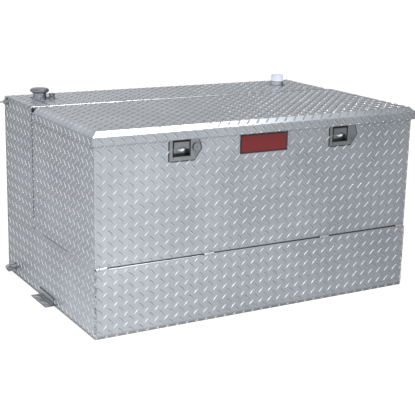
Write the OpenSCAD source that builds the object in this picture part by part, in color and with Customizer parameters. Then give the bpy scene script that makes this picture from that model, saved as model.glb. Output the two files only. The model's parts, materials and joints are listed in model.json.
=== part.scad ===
// Truck bed transfer tank: an L-shaped welded tank with a lidded toolbox on its shelf.
// Millimetres. Origin at the centre of the tank's bottom face, +Z up, the front faces -Y.

/* [Tank] */
// Width between the two end plates, outside
tank_w = 1219; // [900:1:1600]
// Depth from front to back, outside
tank_d = 797; // [700:1:1000]
// Height of the tall column at the back
tank_h = 656; // [600:1:760]
// Height of the low front part that the toolbox sits on
shelf_h = 228; // [180:1:260]
// Depth of the tall column
column_d = 271; // [240:1:320]
// Thickness of the tank sheet
sheet = 3; // [2.5:0.5:4]
// Outside radius of every folded edge
bend_r = 6; // [5:0.5:8]
// Radius of the flow holes in the baffles
flow_r = 42; // [25:1:50]

/* [Toolbox] */
// Thickness of the toolbox and lid sheet
box_sheet = 2.5; // [2:0.5:3]
// Distance the toolbox front stands behind the tank front
set_back = 2.5; // [1:0.5:4]
// Width of the front and side return flanges round the rim
rim_w = 28; // [22:1:36]
// Width of the rear return flange that carries the hinge
rear_rim_w = 70; // [66:1:80]
// Length of the stitch welds between toolbox and tank
stitch_l = 38; // [20:1:60]

/* [Lid] */
// Height of the lid's flat top above the column's top
lid_rise = 5; // [-6:0.5:10]
// Distance the lid stands out past the toolbox at the front and sides
overhang = 10; // [8:0.5:14]
// Width and height of the folded slope round the lid
bevel = 17; // [8:0.5:20]
// Distance from the lid's flat top down to the edge of its front and sides
lip_drop = 43.5; // [42:0.5:51]
// Slope of the lid's rear strip in degrees
rear_slope = 14; // [12:0.5:15]
// Distance from the column face forward to the fold of the rear strip
fold_gap = 52; // [50:0.5:56]

/* [Hinge] */
// Distance from the column face forward to the hinge pin
hinge_gap = 8; // [7.5:0.25:9]
// Radius of the hinge pin
hinge_pin_r = 2; // [1.5:0.1:2.2]
// Outside radius of the knuckles
knuckle_r = 4; // [3.8:0.1:4.2]
// Number of knuckles along the hinge
knuckles = 24; // [12:2:30]

/* [Latches] */
// Distance from the left end of the tank to the left latch plate
latch_left = 253; // [150:1:320]
// Distance from the left end of the tank to the right latch plate
latch_right = 866; // [780:1:980]
// Distance from the lid's flat top down to the lower edge of the latch plates
latch_drop = 114; // [114:1:141]
// Depth of the pressed pan behind the paddle
pan_depth = 17; // [15:0.5:20]
// Radius of the striker bar
bar_r = 4; // [3:0.25:4]

/* [Fittings] */
// Outside radius of the filler neck
neck_r = 23.5; // [21:0.5:26]
// Radius of the filler cap
cap_r = 33.5; // [31:0.5:36]
// Height of the filler neck above the tank
neck_h = 20; // [16:0.5:30]
// Radius of the gauge cover
cover_r = 22.5; // [21:0.5:24]
// Length of the float arm
float_l = 230; // [180:1:240]

/* [Hidden] */
$fn = 64;
half_w = tank_w / 2;
front_y = -tank_d / 2;
back_y = tank_d / 2;
column_y = back_y - column_d;
lid_top = tank_h + lid_rise;
lip_z = lid_top - lip_drop;
latch_z = lid_top - latch_drop;
inner_r = bend_r - sheet;
// corner pieces reach this far past the face that they round
past = 1;
// clearance of a turning fit and the wider gap between moving faces
run_fit = 0.05;
free_gap = 0.3;

// toolbox
box_gap = 4;
end_gap = 1.5;
box_front = front_y + set_back;
box_back = column_y - box_gap;
box_half = half_w - box_sheet;
box_inner_r = bend_r - box_sheet;

// lid and hinge
leaf_t = 1.5;
leaf_w = 30;
knuckle_gap = 0.4;
leaf_off = knuckle_r + knuckle_gap;
hinge_y = column_y - hinge_gap;
fold_y = column_y - fold_gap;
strip_drop = (hinge_y - fold_y) * tan(rear_slope);
hinge_z = lid_top - strip_drop - (leaf_off + box_sheet) / cos(rear_slope);
rim_z = hinge_z - leaf_off;
strip_end = hinge_y + 1.5;
lid_half = half_w + overhang;
lid_front = front_y - overhang;
lid_rear = fold_y + 9;
lid_under = lid_top - box_sheet;
strip_half = half_w - 6;
hinge_half = half_w - 9.5;
knuckle_l = 2 * hinge_half / knuckles;

// latches
dish_t = 1.5;
plate_w = 114;
plate_h = 71;
pan_x = 43;
pan_w = 64;
pan_low = 13;
pan_high = 66;
lock_x = 95.3;
lock_up = 41;
lock_r = 12.5;
barrel_r = 9.5;
plug_r = 6;
case_t = 2;
jaw_r = 22;
jaw_gap = 1.5;
pan_back = box_front + pan_depth + dish_t;
jaw_y = pan_back + case_t + jaw_r + jaw_gap;
jaw_z = latch_z + 53;
bar_off = 12;
jaw_pin_r = 2.5;
cheek_in = 6;
paddle_t = 2;
paddle_pin_r = 1.5;
paddle_y = box_front + 2;
paddle_z = latch_z + 60;
rivet_r = 3;
sides = [-half_w + latch_left, -half_w + latch_right];

// gas struts, with the lid end placed from the hinge
strut_x = half_w - 46;
strut_half = 5.5;
strut_lid = [-110, -10];
strut_base = [-155.5, -185.4];
strut_run = strut_lid - strut_base;
strut_len = norm(strut_run);
strut_tilt = atan2(strut_run[0], strut_run[1]);
strut_pin_r = 4;
tube_r = 9;
tube_bore = 7.5;
rod_r = 4;
eye_r = 7;

// fittings
neck_x = -half_w + 97;
neck_y = back_y - 95;
vent_x = -half_w + 134;
vent_y = back_y - 120;
gauge_x = half_w - 129;
gauge_y = back_y - 127;
wall_vent_y = back_y - 25;
wall_vent_z = tank_h - 18;
outlet_y = back_y - 63;
outlet_z = 30;
neck_bore = neck_r - 3;
seal_t = 1.5;
stem_r = 9;
head_drop = 326;
float_z = tank_h - head_drop;

// a section drawn as depth and height, run along X
module along_x(from, to)
  translate([from, 0, 0]) rotate([90, 0, 90]) linear_extrude(to - from) children();

// a section drawn as width and height, run along Y
module along_y(from, to)
  translate([0, to, 0]) rotate([90, 0, 0]) linear_extrude(to - from) children();

// the area between a square corner and its rounding
module corner_wedge(at, turn, r)
  translate(at) rotate(turn) difference() {
    translate([-past, -past]) square(r + past);
    translate([r, r]) circle(r);
  }

// a round rod along X
module rod_x(x0, x1, r) translate([x0, 0, 0]) rotate([0, 90, 0]) cylinder(h = x1 - x0, r = r);

// the tank: two folded wraps between flat end plates

module rear_wrap_section() difference() {
  translate([front_y + sheet, 0]) square([tank_d - sheet, tank_h]);
  corner_wedge([back_y, 0], 90, bend_r);
  corner_wedge([back_y, tank_h], 180, bend_r);
  difference() {
    translate([front_y, sheet]) square([tank_d - sheet, tank_h - 2 * sheet]);
    corner_wedge([back_y - sheet, sheet], 90, inner_r);
    corner_wedge([back_y - sheet, tank_h - sheet], 180, inner_r);
  }
  translate([front_y, sheet]) square([column_y + sheet - front_y, tank_h]);
}

module rear_wrap() color("silver") difference() {
  along_x(-half_w + sheet, half_w - sheet) rear_wrap_section();
  translate([neck_x, neck_y, tank_h - bend_r]) cylinder(h = 2 * bend_r, r = neck_r);
  translate([vent_x, vent_y, tank_h - bend_r]) cylinder(h = 2 * bend_r, r = 8);
  translate([gauge_x, gauge_y, tank_h - bend_r]) cylinder(h = 2 * bend_r, r = 24);
}

module front_wrap_section() difference() {
  union() {
    translate([front_y, sheet]) square([column_y + sheet - front_y, shelf_h - sheet]);
    translate([column_y, sheet]) square([sheet, tank_h - 2 * sheet]);
    corner_wedge([column_y, shelf_h], 90, inner_r);
  }
  corner_wedge([front_y, shelf_h], 270, bend_r);
  difference() {
    translate([front_y + sheet, 0]) square([column_y - front_y, shelf_h - sheet]);
    corner_wedge([front_y + sheet, shelf_h - sheet], 270, inner_r);
  }
  corner_wedge([column_y + sheet, shelf_h - sheet], 90, bend_r);
}

module front_wrap() color("silver")
  along_x(-half_w + sheet, half_w - sheet) front_wrap_section();

module tank_outline() difference() {
  union() {
    translate([front_y, 0]) square([tank_d, shelf_h]);
    translate([column_y, 0]) square([column_d, tank_h]);
    corner_wedge([column_y, shelf_h], 90, inner_r);
  }
  corner_wedge([front_y, 0], 0, sheet);
  corner_wedge([back_y, 0], 90, bend_r);
  corner_wedge([back_y, tank_h], 180, bend_r);
  corner_wedge([column_y, tank_h], 270, sheet);
  corner_wedge([front_y, shelf_h], 270, bend_r);
}

vent_hole_r = 9;
outlet_hole_r = 12;

module end_plate_left() color("silver") difference() {
  along_x(-half_w, -half_w + sheet) tank_outline();
  translate([0, wall_vent_y, wall_vent_z]) rod_x(-half_w - past, -half_w + bend_r, vent_hole_r);
  translate([0, outlet_y, outlet_z]) rod_x(-half_w - past, -half_w + bend_r, outlet_hole_r);
}

module end_plate_right() color("silver") along_x(half_w - sheet, half_w) tank_outline();

// baffles follow the inside of the wraps, their corners cut away for flow
baffle_x = tank_w / 6;
clip = 26;
b_front = front_y + sheet;
b_back = back_y - sheet;
b_top = tank_h - sheet;
b_shelf = shelf_h - sheet;
b_column = column_y + sheet;

module baffle_outline() difference() {
  polygon([[b_front + clip, sheet], [b_back - clip, sheet], [b_back, sheet + clip],
    [b_back, b_top - clip], [b_back - clip, b_top], [b_column + clip, b_top],
    [b_column, b_top - clip], [b_column, b_shelf + clip], [b_column + clip, b_shelf - clip],
    [b_column - clip, b_shelf], [b_front + clip, b_shelf], [b_front, b_shelf - clip],
    [b_front, sheet + clip]]);
  for (k = [0.18, 0.4, 0.62]) translate([front_y + k * tank_d, shelf_h / 2]) circle(flow_r);
  for (k = [0.2, 0.5, 0.8]) translate([(b_column + b_back) / 2, k * tank_h]) circle(flow_r);
}

module baffles() color("silver") for (s = [-1, 1])
  along_x(s * baffle_x - sheet / 2, s * baffle_x + sheet / 2) baffle_outline();

// welds fill the open corners where the two wraps meet
module corner_weld(at, turn) translate(at) rotate(turn) intersection() {
  translate([-sheet, -sheet]) square(sheet);
  circle(sheet);
}

module seam_welds() color("gainsboro") {
  along_x(-half_w + sheet, half_w - sheet) corner_weld([front_y + sheet, sheet], 0);
  along_x(-half_w + sheet, half_w - sheet) corner_weld([column_y + sheet, tank_h - sheet], 270);
}

// folded tie-down angle at each end
tie_in = 345;
tie_from = front_y + tie_in;
tie_l = 133;
tie_out = 33;
tie_up = 27;
tie_hole_r = 5.25;

module tie_down() difference() {
  along_y(tie_from, tie_from + tie_l) difference() {
    union() {
      translate([half_w, 0]) square([sheet, tie_up]);
      translate([half_w, 0]) square([tie_out, sheet]);
      corner_wedge([half_w + sheet, sheet], 0, inner_r);
    }
    corner_wedge([half_w, 0], 0, bend_r);
  }
  translate([half_w + (tie_out + bend_r) / 2, tie_from + tie_l / 2, -past])
    cylinder(h = sheet + 2 * past, r = tie_hole_r);
}

module tie_down_right() color("silver") tie_down();
module tie_down_left() color("silver") mirror([1, 0, 0]) tie_down();

// the toolbox: one folded wrap for the front, floor and back, with flat ends

module box_outline(inset) difference() {
  translate([box_front + inset, shelf_h + inset])
    square([box_back - box_front - 2 * inset, rim_z - shelf_h - 2 * inset]);
  corner_wedge([box_front + inset, shelf_h + inset], 0, bend_r - inset);
  corner_wedge([box_back - inset, shelf_h + inset], 90, bend_r - inset);
  corner_wedge([box_back - inset, rim_z - inset], 180, bend_r - inset);
  corner_wedge([box_front + inset, rim_z - inset], 270, bend_r - inset);
}

// the pressed latch plate as width and height from its lower left corner
module latch_plate() polygon([[0, 0], [88, 0], [plate_w, 36], [102, plate_h], [0, plate_h]]);

module pan_area(grow) translate([pan_x - pan_w / 2 - grow, pan_low - grow])
  square([pan_w + 2 * grow, pan_high - pan_low + 2 * grow]);

// the places of the two rivets that show on a latch plate
rivet_at = [[15.9, 8.5], [94, 18]];

module toolbox_wrap() color("silver") difference() {
  along_x(-box_half, box_half) difference() {
    box_outline(0);
    box_outline(box_sheet);
    translate([box_front + rim_w, shelf_h + bend_r])
      square([box_back - rear_rim_w - box_front - rim_w, rim_z]);
  }
  for (s = sides) translate([s, 0, latch_z]) {
    along_y(box_front - past, box_front + bend_r) pan_area(dish_t);
    for (p = rivet_at) along_y(box_front - past, box_front + bend_r) translate(p) circle(rivet_r / 2);
  }
  translate([sides[0], 0, latch_z])
    along_y(box_front - past, box_front + bend_r) translate([lock_x, lock_up]) circle(barrel_r);
}

// relief between the side flange and the front and rear flanges
relief = 1;
flange_from = box_front + rim_w + relief;
flange_to = box_back - rear_rim_w - relief;

module toolbox_end() difference() {
  union() {
    along_x(box_half, half_w) difference() {
      box_outline(0);
      translate([box_front - past, shelf_h - past]) square([tank_d, past + end_gap]);
    }
    along_y(flange_from, flange_to) {
      translate([half_w - rim_w, rim_z - box_sheet]) square([rim_w, box_sheet]);
      corner_wedge([box_half, rim_z - box_sheet], 180, box_inner_r);
    }
  }
  along_y(flange_from, flange_to) corner_wedge([half_w, rim_z], 180, bend_r);
}

module toolbox_end_right() color("silver") toolbox_end();
module toolbox_end_left() color("silver") mirror([1, 0, 0]) toolbox_end();

// short welds bridge the groove between the tank's and the toolbox's folded edges
stitch_r = 5.2;
stitch_in = 4;
stitch_first = 384;
stitch_second = 844;
stitch_x = [-half_w + sheet, -half_w + stitch_first, -half_w + stitch_second, half_w - sheet - stitch_l];

module stitch_section() difference() {
  translate([box_front + 1.6, shelf_h]) circle(stitch_r);
  difference() {
    translate([front_y, shelf_h - 2 * bend_r]) square([tank_d, 2 * bend_r]);
    corner_wedge([front_y, shelf_h], 270, bend_r);
  }
  difference() {
    translate([box_front, shelf_h]) square([tank_d, 2 * bend_r]);
    corner_wedge([box_front, shelf_h], 0, bend_r);
  }
  translate([front_y + stitch_in, shelf_h - 2 * bend_r]) square(4 * bend_r);
}

// runs of weld along the toolbox ends: on the shelf at front and back, and up the column
end_front_run = 205;
end_back_run = 80;
end_up_run = 30;

module end_stitches() {
  translate([box_half, box_front + bend_r, shelf_h]) cube([box_sheet, end_front_run, end_gap]);
  translate([box_half, box_back - bend_r - end_back_run, shelf_h])
    cube([box_sheet, end_back_run, end_gap]);
  translate([half_w - sheet, box_back, shelf_h + bend_r]) cube([sheet, box_gap, end_up_run]);
}

module stitch_welds() color("gainsboro") {
  for (x = stitch_x) along_x(x, x + stitch_l) stitch_section();
  end_stitches();
  mirror([1, 0, 0]) end_stitches();
}

// rubber on the rim under the closed lid, in four strips cut to length
seal_w = 10;
seal_out = 8;
seal_top = lid_under - 0.5;

seal_x = half_w - seal_out;
seal_front = box_front + seal_out;
seal_rear = box_back - rear_rim_w + seal_w + 2;
seal_side_from = seal_front + seal_w + free_gap;
seal_side_to = seal_rear - seal_w - free_gap;

module seal_strip(x0, y0, x1, y1) translate([x0, y0, rim_z])
  cube([x1 - x0, y1 - y0, seal_top - rim_z]);

module weatherstrip() color("dimgray") {
  seal_strip(-seal_x, seal_front, seal_x, seal_front + seal_w);
  seal_strip(-seal_x, seal_rear - seal_w, seal_x, seal_rear);
  seal_strip(-seal_x, seal_side_from, -seal_x + seal_w, seal_side_to);
  seal_strip(seal_x - seal_w, seal_side_from, seal_x, seal_side_to);
}

// piano hinge: leaf sections are drawn from the pin, forward is negative

module leaf_plate(from, to) translate([from, -leaf_off]) square([to - from, leaf_t]);

module leaf_base() leaf_plate(-leaf_w, -leaf_off - knuckle_gap);

module leaf_knuckle() difference() {
  union() {
    leaf_plate(-leaf_off - 1, 0);
    circle(knuckle_r);
  }
  circle(hinge_pin_r + run_fit);
}

// own knuckles are every second one, starting at the given number
module leaf(turn, start) {
  along_x(-hinge_half, hinge_half) translate([hinge_y, hinge_z]) rotate(turn) children(0);
  for (k = [start : 2 : knuckles - 1])
    along_x(-hinge_half + k * knuckle_l + free_gap / 2, -hinge_half + (k + 1) * knuckle_l - free_gap / 2)
      translate([hinge_y, hinge_z]) rotate(turn) children(1);
}

module hinge_fixed_leaf() color("silver") leaf(0, 0) {
  leaf_base();
  leaf_knuckle();
}

module hinge_lid_leaf() color("silver") leaf(-rear_slope, 1) {
  mirror([0, 1]) leaf_base();
  mirror([0, 1]) leaf_knuckle();
}

module hinge_pin() color("dimgray") translate([0, hinge_y, hinge_z])
  rod_x(-hinge_half, hinge_half, hinge_pin_r);

// the lid: a front-to-back section crossed with a side-to-side section

// the open ends of the inner block run past the outer one
function open_end(t) = t > 0 ? past : 0;
function slope_z(y, t) = lid_top - t / cos(rear_slope) - (y - fold_y) * tan(rear_slope);

module lid_side_section(t) polygon([[lid_front + t, lip_z - open_end(t)],
  [lid_front + t, lid_top - bevel - t * tan(22.5)], [lid_front + bevel + t * tan(22.5), lid_top - t],
  [fold_y - t * tan(rear_slope / 2), lid_top - t],
  [lid_rear + open_end(t), slope_z(lid_rear + open_end(t), t)],
  [lid_rear + open_end(t), lip_z - open_end(t)]]);

module lid_front_section(t) polygon([[-lid_half + t, lip_z - open_end(t)],
  [-lid_half + t, lid_top - bevel - t * tan(22.5)], [-lid_half + bevel + t * tan(22.5), lid_top - t],
  [lid_half - bevel - t * tan(22.5), lid_top - t], [lid_half - t, lid_top - bevel - t * tan(22.5)],
  [lid_half - t, lip_z - open_end(t)]]);

module lid_block(t) intersection() {
  along_x(-lid_half - past, lid_half + past) lid_side_section(t);
  along_y(lid_front - past, lid_rear + 2 * past) lid_front_section(t);
}

module lid_strip_section() polygon([[fold_y, lid_top], [strip_end, slope_z(strip_end, 0)],
  [strip_end, slope_z(strip_end, box_sheet)], [fold_y, slope_z(fold_y, box_sheet)]]);

module lid_panel() color("silver") union() {
  difference() {
    lid_block(0);
    lid_block(box_sheet);
  }
  along_x(-strip_half, strip_half) lid_strip_section();
}

// hat channels stiffen the lid's underside
hat_h = 18;
hat_t = 1.5;
hat_half = half_w - 80;
hat_back = 68;
hat_lean = 25;
hat_rear = hinge_y + strut_lid[0] - hat_back;
hat_at = [(lid_front + hat_rear) / 2 + hat_lean, hat_rear];

module hat_section() {
  translate([-28, lid_under - hat_t]) square([16, hat_t]);
  translate([12, lid_under - hat_t]) square([16, hat_t]);
  translate([-12 - hat_t, lid_under - hat_h]) square([hat_t, hat_h]);
  translate([12, lid_under - hat_h]) square([hat_t, hat_h]);
  translate([-12 - hat_t, lid_under - hat_h]) square([24 + 2 * hat_t, hat_t]);
}

module lid_stiffeners() color("silver")
  for (y = hat_at) along_x(-hat_half, hat_half) translate([y, 0]) hat_section();

// a pressed foot with two legs and a round bar for each latch
striker_leg = 14;
striker_t = 3;

module striker() translate([pan_x, jaw_y + bar_off, 0]) {
  translate([-striker_leg - 10, -11, lid_under - striker_t]) cube([2 * striker_leg + 20, 22, striker_t]);
  for (s = [-1, 1]) translate([s * striker_leg - striker_t / 2, -bar_r, jaw_z])
    cube([striker_t, 2 * bar_r, lid_under - jaw_z]);
  translate([0, 0, jaw_z]) rod_x(-striker_leg - striker_t / 2, striker_leg + striker_t / 2, bar_r);
}

module striker_left() color("lightgray") translate([sides[0], 0, 0]) striker();
module striker_right() color("lightgray") translate([sides[1], 0, 0]) striker();

// the latches: a pressed dish, a sprung paddle and a jaw that closes round the striker bar

module latch_dish() difference() {
  union() {
    along_y(box_front - dish_t, box_front) latch_plate();
    along_y(box_front - dish_t / 2, pan_back) pan_area(dish_t);
  }
  along_y(box_front - dish_t - past, box_front + pan_depth) pan_area(0);
  for (p = rivet_at) along_y(box_front - bend_r, box_front + past) translate(p) circle(rivet_r / 2);
  translate([0, paddle_y, paddle_z - latch_z])
    rod_x(pan_x - pan_w, pan_x + pan_w, paddle_pin_r);
}

module latch_dish_left() color("lightgray") translate([sides[0], 0, latch_z]) difference() {
  latch_dish();
  along_y(box_front - bend_r, box_front + past) translate([lock_x, lock_up]) circle(barrel_r);
}

module latch_dish_right() color("lightgray") translate([sides[1], 0, latch_z]) latch_dish();

module latch_rivets() color("lightgray") for (s = sides, p = rivet_at)
  translate([s + p[0], box_front - dish_t, latch_z + p[1]]) rotate([-90, 0, 0]) {
    translate([0, 0, -1.6]) cylinder(h = 1.6, r = rivet_r);
    cylinder(h = dish_t + box_sheet, r = rivet_r / 2);
    translate([0, 0, dish_t + box_sheet]) cylinder(h = 1.6, r = rivet_r);
  }

// pressed plate with two pivot lugs and a curved finger cut in its lower edge
paddle_low = latch_z + 37;
paddle_high = latch_z + 64;
lug_out = 27;

module paddle(s) translate([s + pan_x, 0, 0]) difference() {
  union() {
    along_y(box_front - dish_t, box_front - dish_t + paddle_t) difference() {
      translate([-pan_w / 2 + 0.5, paddle_low]) square([pan_w - 1, paddle_high - paddle_low]);
      translate([0, paddle_low - 20]) circle(28);
    }
    for (k = [-1, 1]) translate([k * lug_out, paddle_y, paddle_z]) rod_x(-2, 2, 3);
  }
  translate([0, paddle_y, paddle_z]) rod_x(-pan_w, pan_w, paddle_pin_r + run_fit);
}

module paddle_left() color("gainsboro") paddle(sides[0]);
module paddle_right() color("gainsboro") paddle(sides[1]);

module paddle_pins() color("gray") for (s = sides) translate([s + pan_x, paddle_y, paddle_z])
  rod_x(-pan_w / 2 - dish_t, pan_w / 2 + dish_t, paddle_pin_r);

// case of a front plate and two cheeks, slotted for the striker bar
module cheek_area() difference() {
  translate([pan_back, jaw_z - 12]) square([jaw_y + bar_off + 11 - pan_back, 26]);
  translate([jaw_y + bar_off - 6.5, jaw_z - bar_r - 1]) square([12.5, 40]);
}

module latch_case(s) translate([s + pan_x, 0, 0]) difference() {
  union() {
    translate([-22, pan_back, jaw_z - 30]) cube([44, case_t, 44]);
    along_x(-cheek_in - case_t, -cheek_in) cheek_area();
    along_x(cheek_in, cheek_in + case_t) cheek_area();
  }
  translate([0, jaw_y, jaw_z]) rod_x(-2 * cheek_in, 2 * cheek_in, jaw_pin_r);
}

module latch_case_left() color("gray") latch_case(sides[0]);
module latch_case_right() color("gray") latch_case(sides[1]);

module jaw_pins() color("gray") for (s = sides) translate([s + pan_x, jaw_y, jaw_z])
  rod_x(-cheek_in - case_t, cheek_in + case_t, jaw_pin_r);

// the hook swings over the bar; at rest it stands clear so that the lid can lift
hub_r = 5;
hook_in = bar_off + bar_r + 0.7;
hook_from = 100;
hook_to = 175;
spoke_from = 150;

module sector(from, to) polygon([[0, 0], [2 * jaw_r * cos(from), 2 * jaw_r * sin(from)],
  [2 * jaw_r * cos((from + to) / 2), 2 * jaw_r * sin((from + to) / 2)],
  [2 * jaw_r * cos(to), 2 * jaw_r * sin(to)]]);

module hook_area() {
  intersection() {
    difference() {
      circle(jaw_r);
      circle(hook_in);
    }
    sector(hook_from, hook_to);
  }
  intersection() {
    circle(jaw_r);
    sector(spoke_from, hook_to);
  }
}

module jaw(s) translate([s + pan_x, jaw_y, jaw_z]) difference() {
  union() {
    along_x(-3, 3) hook_area();
    rod_x(-cheek_in + 0.1, cheek_in - 0.1, hub_r);
  }
  rod_x(-2 * cheek_in, 2 * cheek_in, jaw_pin_r + run_fit);
}

module jaw_left() color("gray") jaw(sides[0]);
module jaw_right() color("gray") jaw(sides[1]);

// barrel lock in the left plate
lock_deep = 18;
module lock_place() translate([sides[0] + lock_x, box_front, latch_z + lock_up])
  rotate([-90, 0, 0]) children();

module lock_housing() color("lightgray") lock_place() difference() {
  union() {
    translate([0, 0, -dish_t - 4]) cylinder(h = 4, r = lock_r);
    translate([0, 0, -dish_t]) cylinder(h = lock_deep + dish_t, r = barrel_r);
  }
  translate([0, 0, -2 * bend_r]) cylinder(h = lock_deep + 4 * bend_r, r = plug_r + run_fit);
}

module lock_plug() color("gray") lock_place() difference() {
  translate([0, 0, -dish_t - 4]) cylinder(h = lock_deep + dish_t + 4.3, r = plug_r);
  translate([-1, -4, -dish_t - 5]) cube([2, 8, 5]);
}

module lock_cam() color("gray") lock_place() translate([0, 0, lock_deep + free_gap]) {
  cylinder(h = 2, r = 7);
  translate([-5, -15, 0]) cube([10, 15, 2]);
}

// bare plate between the latches
badge_w = 182;
badge_x = (sides[0] + sides[1] - badge_w) / 2 + pan_x;
badge_h = 62;
badge_t = 1.5;

module badge_plate() color("firebrick")
  translate([badge_x, box_front - badge_t, latch_z + 3]) cube([badge_w, badge_t, badge_h]);

// gas struts: an eyed tube on the toolbox end and an eyed rod that reaches the lid stud
tube_end = strut_len - 18;
piston_at = 20;

module strut_place() translate([strut_x, hinge_y + strut_base[0], hinge_z + strut_base[1]])
  rotate([-strut_tilt, 0, 0]) children();

module strut_tube() strut_place() difference() {
  union() {
    rod_x(-strut_half, strut_half, eye_r);
    cylinder(h = eye_r + 6, r = 5);
    translate([0, 0, eye_r + 5]) cylinder(h = tube_end - eye_r - 5, r = tube_r);
  }
  rod_x(-2 * strut_half, 2 * strut_half, strut_pin_r + run_fit);
  translate([0, 0, piston_at - 3]) cylinder(h = tube_end - piston_at - 0.5, r = tube_bore);
  translate([0, 0, piston_at]) cylinder(h = strut_len, r = rod_r + run_fit);
}

module strut_rod() strut_place() difference() {
  union() {
    translate([0, 0, piston_at]) cylinder(h = 8, r = tube_bore - run_fit);
    translate([0, 0, piston_at]) cylinder(h = strut_len - piston_at, r = rod_r);
    translate([0, 0, strut_len]) rod_x(-strut_half, strut_half, eye_r);
  }
  translate([0, 0, strut_len]) rod_x(-2 * strut_half, 2 * strut_half, strut_pin_r + run_fit);
}

module strut_tube_right() color("dimgray") strut_tube();
module strut_tube_left() color("dimgray") mirror([1, 0, 0]) strut_tube();
module strut_rod_right() color("gainsboro") strut_rod();
module strut_rod_left() color("gainsboro") mirror([1, 0, 0]) strut_rod();

bracket_t = 3;
bracket_r = 16;

module strut_bracket() translate([0, hinge_y + strut_base[0], hinge_z + strut_base[1]]) {
  translate([box_half - bracket_t, -bracket_r, -bracket_r])
    cube([bracket_t, 2 * bracket_r, 2 * bracket_r]);
  rod_x(strut_x + strut_half + free_gap, box_half - bracket_t, eye_r);
  rod_x(strut_x - strut_half - 2, box_half - bracket_t, strut_pin_r);
}

module strut_brackets() color("gray") {
  strut_bracket();
  mirror([1, 0, 0]) strut_bracket();
}

// the lid studs stop just short of the rod eyes
stud_tip = strut_x - strut_half - 0.5;
stud_plate = stud_tip - 10;

module lid_stud() translate([0, hinge_y + strut_lid[0], 0]) {
  translate([stud_plate - bracket_t, -12, hinge_z + strut_lid[1] - 8])
    cube([bracket_t, 24, lid_under - hinge_z - strut_lid[1] + 8]);
  translate([stud_plate - 24, -12, lid_under - bracket_t]) cube([24, 24, bracket_t]);
  translate([0, 0, hinge_z + strut_lid[1]]) rod_x(stud_plate - 1, stud_tip, strut_pin_r);
}

module lid_strut_studs() color("gray") {
  lid_stud();
  mirror([1, 0, 0]) lid_stud();
}

// filler, breather and gauge on top of the column

module filler_neck() color("silver") translate([neck_x, neck_y, tank_h]) difference() {
  union() {
    cylinder(h = 3, r = neck_r + 6);
    translate([0, 0, -16]) cylinder(h = 16 + neck_h, r = neck_r);
  }
  translate([0, 0, -16 - past]) cylinder(h = 18 + neck_h, r = neck_bore);
}

module cap_gasket() color("black") translate([neck_x, neck_y, tank_h + neck_h]) difference() {
  cylinder(h = seal_t, r = neck_r + 5);
  translate([0, 0, -past]) cylinder(h = 4, r = neck_bore + free_gap);
}

// the cap is hollow over the neck's mouth and presses on the gasket
cap_h = 12.5;
cap_in = 6;
module filler_cap() color("gray") translate([neck_x, neck_y, tank_h + neck_h + seal_t])
  rotate_extrude() polygon([[0, cap_in], [neck_bore, cap_in], [neck_bore, 0], [cap_r - 3, 0],
    [cap_r, 3], [cap_r, cap_h - 4], [cap_r - 5, cap_h], [0, cap_h]]);

module breather_bung() color("silver") translate([vent_x, vent_y, tank_h]) difference() {
  union() {
    cylinder(h = 3, r = 12);
    translate([0, 0, -bend_r]) cylinder(h = bend_r, r = 8);
  }
  translate([0, 0, -8]) cylinder(h = 16, r = 5);
}

module breather_cap() color("gray") translate([vent_x, vent_y, tank_h]) {
  translate([0, 0, -4]) cylinder(h = 8, r = 5);
  translate([0, 0, 3]) cylinder(h = 5, r = 10.5, $fn = 6);
  translate([0, 0, 8]) cylinder(h = 2, r = 6.5);
  translate([0, 0, 10]) cylinder(h = 8, r = 10);
}

bung_r = 30;
spigot_r = 24;
head_r = 25;
head_h = 16;
head_bore = 20;

module gauge_bung() color("silver") translate([gauge_x, gauge_y, tank_h]) difference() {
  union() {
    cylinder(h = 4, r = bung_r);
    translate([0, 0, -bend_r]) cylinder(h = bend_r, r = spigot_r);
  }
  translate([0, 0, -8]) cylinder(h = 16, r = head_bore);
}

// the head carries a hanging stem with a fork for the float arm
fork_half = 8;
fork_slot = 3.3;
fork_up = 18;
float_pin_r = 2;
dial_pin_r = 3;

module gauge_head() color("dimgray") difference() {
  union() {
    translate([gauge_x, gauge_y, tank_h + 4]) cylinder(h = head_h - 4, r = head_r);
    translate([gauge_x, gauge_y, tank_h - bend_r]) cylinder(h = bend_r + 5, r = head_bore);
    translate([gauge_x, gauge_y, float_z + fork_up]) cylinder(h = tank_h - float_z - fork_up, r = stem_r);
    translate([gauge_x - stem_r, gauge_y - fork_half, float_z - fork_half])
      cube([2 * stem_r, 2 * fork_half, fork_half + fork_up + 4]);
  }
  translate([gauge_x - 2 * stem_r, gauge_y - fork_slot, float_z - 2 * fork_half])
    cube([4 * stem_r, 2 * fork_slot, 2 * fork_half + fork_up]);
  translate([gauge_x, gauge_y - 2 * fork_half, float_z]) rotate([-90, 0, 0])
    cylinder(h = 4 * fork_half, r = float_pin_r);
  translate([gauge_x, gauge_y, tank_h + head_h - 8]) cylinder(h = 10, r = dial_pin_r + run_fit);
}

module float_pin() color("gray") translate([gauge_x, gauge_y - fork_half, float_z])
  rotate([-90, 0, 0]) cylinder(h = 2 * fork_half, r = float_pin_r);

// at rest the arm hangs on its lower stop
arm_drop = 50;
arm_r = 2.5;
float_r = 22;
float_h = 50;

module arm_place() translate([gauge_x, gauge_y, float_z]) rotate([0, -90 - arm_drop, 0]) children();

module float_arm() color("gray") arm_place() difference() {
  union() {
    rotate([-90, 0, 0]) translate([0, 0, -3]) cylinder(h = 6, r = 6);
    cylinder(h = float_l, r = arm_r);
  }
  rotate([-90, 0, 0]) translate([0, 0, -2 * fork_half])
    cylinder(h = 4 * fork_half, r = float_pin_r + run_fit);
}

module float() color("dimgray") arm_place() translate([0, 0, float_l - 15]) difference() {
  rotate([-90, 0, 0]) translate([0, 0, -float_h / 2]) cylinder(h = float_h, r = float_r);
  translate([0, 0, -2 * float_r]) cylinder(h = 2 * float_r + 15, r = arm_r);
}

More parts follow.
